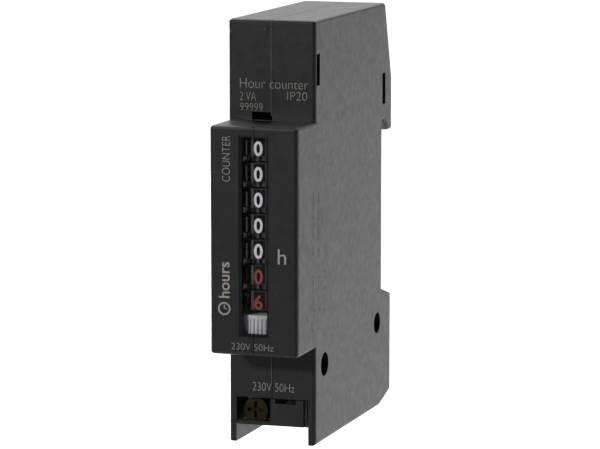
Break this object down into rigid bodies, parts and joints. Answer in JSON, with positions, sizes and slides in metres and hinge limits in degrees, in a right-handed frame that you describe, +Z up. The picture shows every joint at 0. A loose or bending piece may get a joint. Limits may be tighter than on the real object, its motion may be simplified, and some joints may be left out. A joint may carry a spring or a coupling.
{
  "type": "hours-run meter",
  "caption": "Slim rail-mounted electromechanical hours counter: stacked number drums behind a window, running wheel, geared motor, screw terminals and a sprung rail latch.",
  "frame": {"origin": "middle of the rail seat: on the flat seat, half way across the module and half way up the 35 mm rail", "axes": "+Z up, +Y from the front towards the rail and wall, +X to the right seen from the front"},
  "size_m": [0.018, 0.0634, 0.0854],
  "materials": {
    "housing_plastic": "fine matte grain",
    "drum_plastic": "matte",
    "white_plastic": "matte",
    "pale_plastic": "matte",
    "clear_plastic": "clear",
    "steel": "satin",
    "zinc_steel": "zinc plated",
    "brass": "satin",
    "copper": "satin copper",
    "ferrite": "matte",
    "wire_sleeve": "soft sleeve"
  },
  "bodies": {
    "housing": {"housing_left": "housing_plastic", "housing_right": "housing_plastic", "window_lens": "clear_plastic", "housing_screw_1": "zinc_steel", "housing_screw_2": "zinc_steel", "terminal_guard": "housing_plastic", "contact_bar_left": "copper", "contact_bar_right": "copper", "counter_frame": "steel", "gear_plate": "brass", "motor_cup": "steel", "pole_plate": "steel", "coil_bobbin": "pale_plastic", "coil_winding": "copper", "drum_axle": "steel", "transfer_axle": "steel", "lead_wire_left": "wire_sleeve", "lead_wire_right": "wire_sleeve", "latch_spring": "steel"},
    "latch": {"rail_latch": "housing_plastic"},
    "screw_left": {"terminal_screw_left": "brass"},
    "screw_right": {"terminal_screw_right": "brass"},
    "cage_left": {"clamp_cage_left": "steel"},
    "cage_right": {"clamp_cage_right": "steel"},
    "rotor": {"rotor_shaft": "steel", "rotor_magnet": "ferrite", "rotor_pinion": "brass"},
    "first_gear": {"first_gear": "pale_plastic"},
    "second_gear": {"second_gear": "pale_plastic"},
    "idler": {"idler_gear": "pale_plastic"},
    "running_wheel": {"running_wheel": "white_plastic"},
    "drum_1": {"drum_1": "drum_plastic"},
    "drum_2": {"drum_2": "drum_plastic"},
    "drum_3": {"drum_3": "drum_plastic"},
    "drum_4": {"drum_4": "drum_plastic"},
    "drum_5": {"drum_5": "drum_plastic"},
    "drum_6": {"drum_6": "drum_plastic"},
    "drum_7": {"drum_7": "drum_plastic"},
    "transfer_pinion_1": {"transfer_pinion_1": "pale_plastic"},
    "transfer_pinion_2": {"transfer_pinion_2": "pale_plastic"},
    "transfer_pinion_3": {"transfer_pinion_3": "pale_plastic"},
    "transfer_pinion_4": {"transfer_pinion_4": "pale_plastic"},
    "transfer_pinion_5": {"transfer_pinion_5": "pale_plastic"},
    "transfer_pinion_6": {"transfer_pinion_6": "pale_plastic"}
  },
  "joints": [
    {"name": "latch_slide", "type": "slide", "parent": "housing", "child": "latch", "axis": [0, 0, -1], "range_m": [0, 0.0018], "stiffness_N_per_m": 800, "springref_m": -0.003, "deforming": ["latch_spring"]},
    {"name": "terminal_screw_left_turn", "type": "hinge", "parent": "housing", "child": "screw_left", "pos_m": [-0.004, -0.04365, -0.0362], "axis": [0, 1, 0], "range_deg": [0, 1445]},
    {"name": "clamp_cage_left_slide", "type": "slide", "parent": "housing", "child": "cage_left", "axis": [0, -1, 0], "range_m": [0, 0.002]},
    {"name": "terminal_screw_right_turn", "type": "hinge", "parent": "housing", "child": "screw_right", "pos_m": [0.004, -0.04365, -0.0362], "axis": [0, 1, 0], "range_deg": [0, 1445]},
    {"name": "clamp_cage_right_slide", "type": "slide", "parent": "housing", "child": "cage_right", "axis": [0, -1, 0], "range_m": [0, 0.002]},
    {"name": "rotor_spin", "type": "hinge", "parent": "housing", "child": "rotor", "pos_m": [0, -0.0267, -0.0121], "axis": [0, 0, 1], "continuous": true},
    {"name": "first_gear_spin", "type": "hinge", "parent": "housing", "child": "first_gear", "pos_m": [0, -0.0317, -0.0206], "axis": [0, 0, 1], "continuous": true},
    {"name": "second_gear_spin", "type": "hinge", "parent": "housing", "child": "second_gear", "pos_m": [0, -0.0367, -0.0206], "axis": [0, 0, 1], "continuous": true},
    {"name": "idler_spin", "type": "hinge", "parent": "housing", "child": "idler", "pos_m": [0, -0.04095, -0.0206], "axis": [0, 0, 1], "continuous": true},
    {"name": "running_wheel_spin", "type": "hinge", "parent": "housing", "child": "running_wheel", "pos_m": [0, -0.04895, -0.0206], "axis": [0, 0, 1], "continuous": true},
    {"name": "drum_7_spin", "type": "hinge", "parent": "housing", "child": "drum_7", "pos_m": [0, -0.04895, -0.01274], "axis": [0, 0, 1], "continuous": true},
    {"name": "drum_6_spin", "type": "hinge", "parent": "housing", "child": "drum_6", "pos_m": [0, -0.04895, -0.0077], "axis": [0, 0, 1], "continuous": true},
    {"name": "drum_5_spin", "type": "hinge", "parent": "housing", "child": "drum_5", "pos_m": [0, -0.04895, -0.00266], "axis": [0, 0, 1], "continuous": true},
    {"name": "drum_4_spin", "type": "hinge", "parent": "housing", "child": "drum_4", "pos_m": [0, -0.04895, 0.00238], "axis": [0, 0, 1], "continuous": true},
    {"name": "drum_3_spin", "type": "hinge", "parent": "housing", "child": "drum_3", "pos_m": [0, -0.04895, 0.00742], "axis": [0, 0, 1], "continuous": true},
    {"name": "drum_2_spin", "type": "hinge", "parent": "housing", "child": "drum_2", "pos_m": [0, -0.04895, 0.01246], "axis": [0, 0, 1], "continuous": true},
    {"name": "drum_1_spin", "type": "hinge", "parent": "housing", "child": "drum_1", "pos_m": [0, -0.04895, 0.0175], "axis": [0, 0, 1], "continuous": true},
    {"name": "transfer_pinion_6_spin", "type": "hinge", "parent": "housing", "child": "transfer_pinion_6", "pos_m": [-0.00467, -0.05222, -0.0102], "axis": [0, 0, 1], "continuous": true},
    {"name": "transfer_pinion_5_spin", "type": "hinge", "parent": "housing", "child": "transfer_pinion_5", "pos_m": [-0.00467, -0.05222, -0.00516], "axis": [0, 0, 1], "continuous": true},
    {"name": "transfer_pinion_4_spin", "type": "hinge", "parent": "housing", "child": "transfer_pinion_4", "pos_m": [-0.00467, -0.05222, -0.00012], "axis": [0, 0, 1], "continuous": true},
    {"name": "transfer_pinion_3_spin", "type": "hinge", "parent": "housing", "child": "transfer_pinion_3", "pos_m": [-0.00467, -0.05222, 0.00492], "axis": [0, 0, 1], "continuous": true},
    {"name": "transfer_pinion_2_spin", "type": "hinge", "parent": "housing", "child": "transfer_pinion_2", "pos_m": [-0.00467, -0.05222, 0.00996], "axis": [0, 0, 1], "continuous": true},
    {"name": "transfer_pinion_1_spin", "type": "hinge", "parent": "housing", "child": "transfer_pinion_1", "pos_m": [-0.00467, -0.05222, 0.015], "axis": [0, 0, 1], "continuous": true}
  ],
  "couplings": [
    {"joint": "terminal_screw_left_turn", "follows": "clamp_cage_left_slide", "rad_per_m": 12566},
    {"joint": "terminal_screw_right_turn", "follows": "clamp_cage_right_slide", "rad_per_m": 12566},
    {"joint": "first_gear_spin", "follows": "rotor_spin", "ratio": -0.33333},
    {"joint": "second_gear_spin", "follows": "rotor_spin", "ratio": 0.11111},
    {"joint": "idler_spin", "follows": "rotor_spin", "ratio": -0.046296},
    {"joint": "running_wheel_spin", "follows": "rotor_spin", "ratio": 0.027778},
    {"joint": "drum_6_spin", "follows": "drum_7_spin", "ratio": 0.1},
    {"joint": "drum_5_spin", "follows": "drum_7_spin", "ratio": 0.01},
    {"joint": "drum_4_spin", "follows": "drum_7_spin", "ratio": 0.001},
    {"joint": "drum_3_spin", "follows": "drum_7_spin", "ratio": 0.0001},
    {"joint": "drum_2_spin", "follows": "drum_7_spin", "ratio": 0.00001},
    {"joint": "drum_1_spin", "follows": "drum_7_spin", "ratio": 0.000001},
    {"joint": "transfer_pinion_6_spin", "follows": "drum_7_spin", "ratio": -0.25},
    {"joint": "transfer_pinion_5_spin", "follows": "drum_7_spin", "ratio": -0.025},
    {"joint": "transfer_pinion_4_spin", "follows": "drum_7_spin", "ratio": -0.0025},
    {"joint": "transfer_pinion_3_spin", "follows": "drum_7_spin", "ratio": -0.00025},
    {"joint": "transfer_pinion_2_spin", "follows": "drum_7_spin", "ratio": -0.000025},
    {"joint": "transfer_pinion_1_spin", "follows": "drum_7_spin", "ratio": -0.0000025}
  ]
}
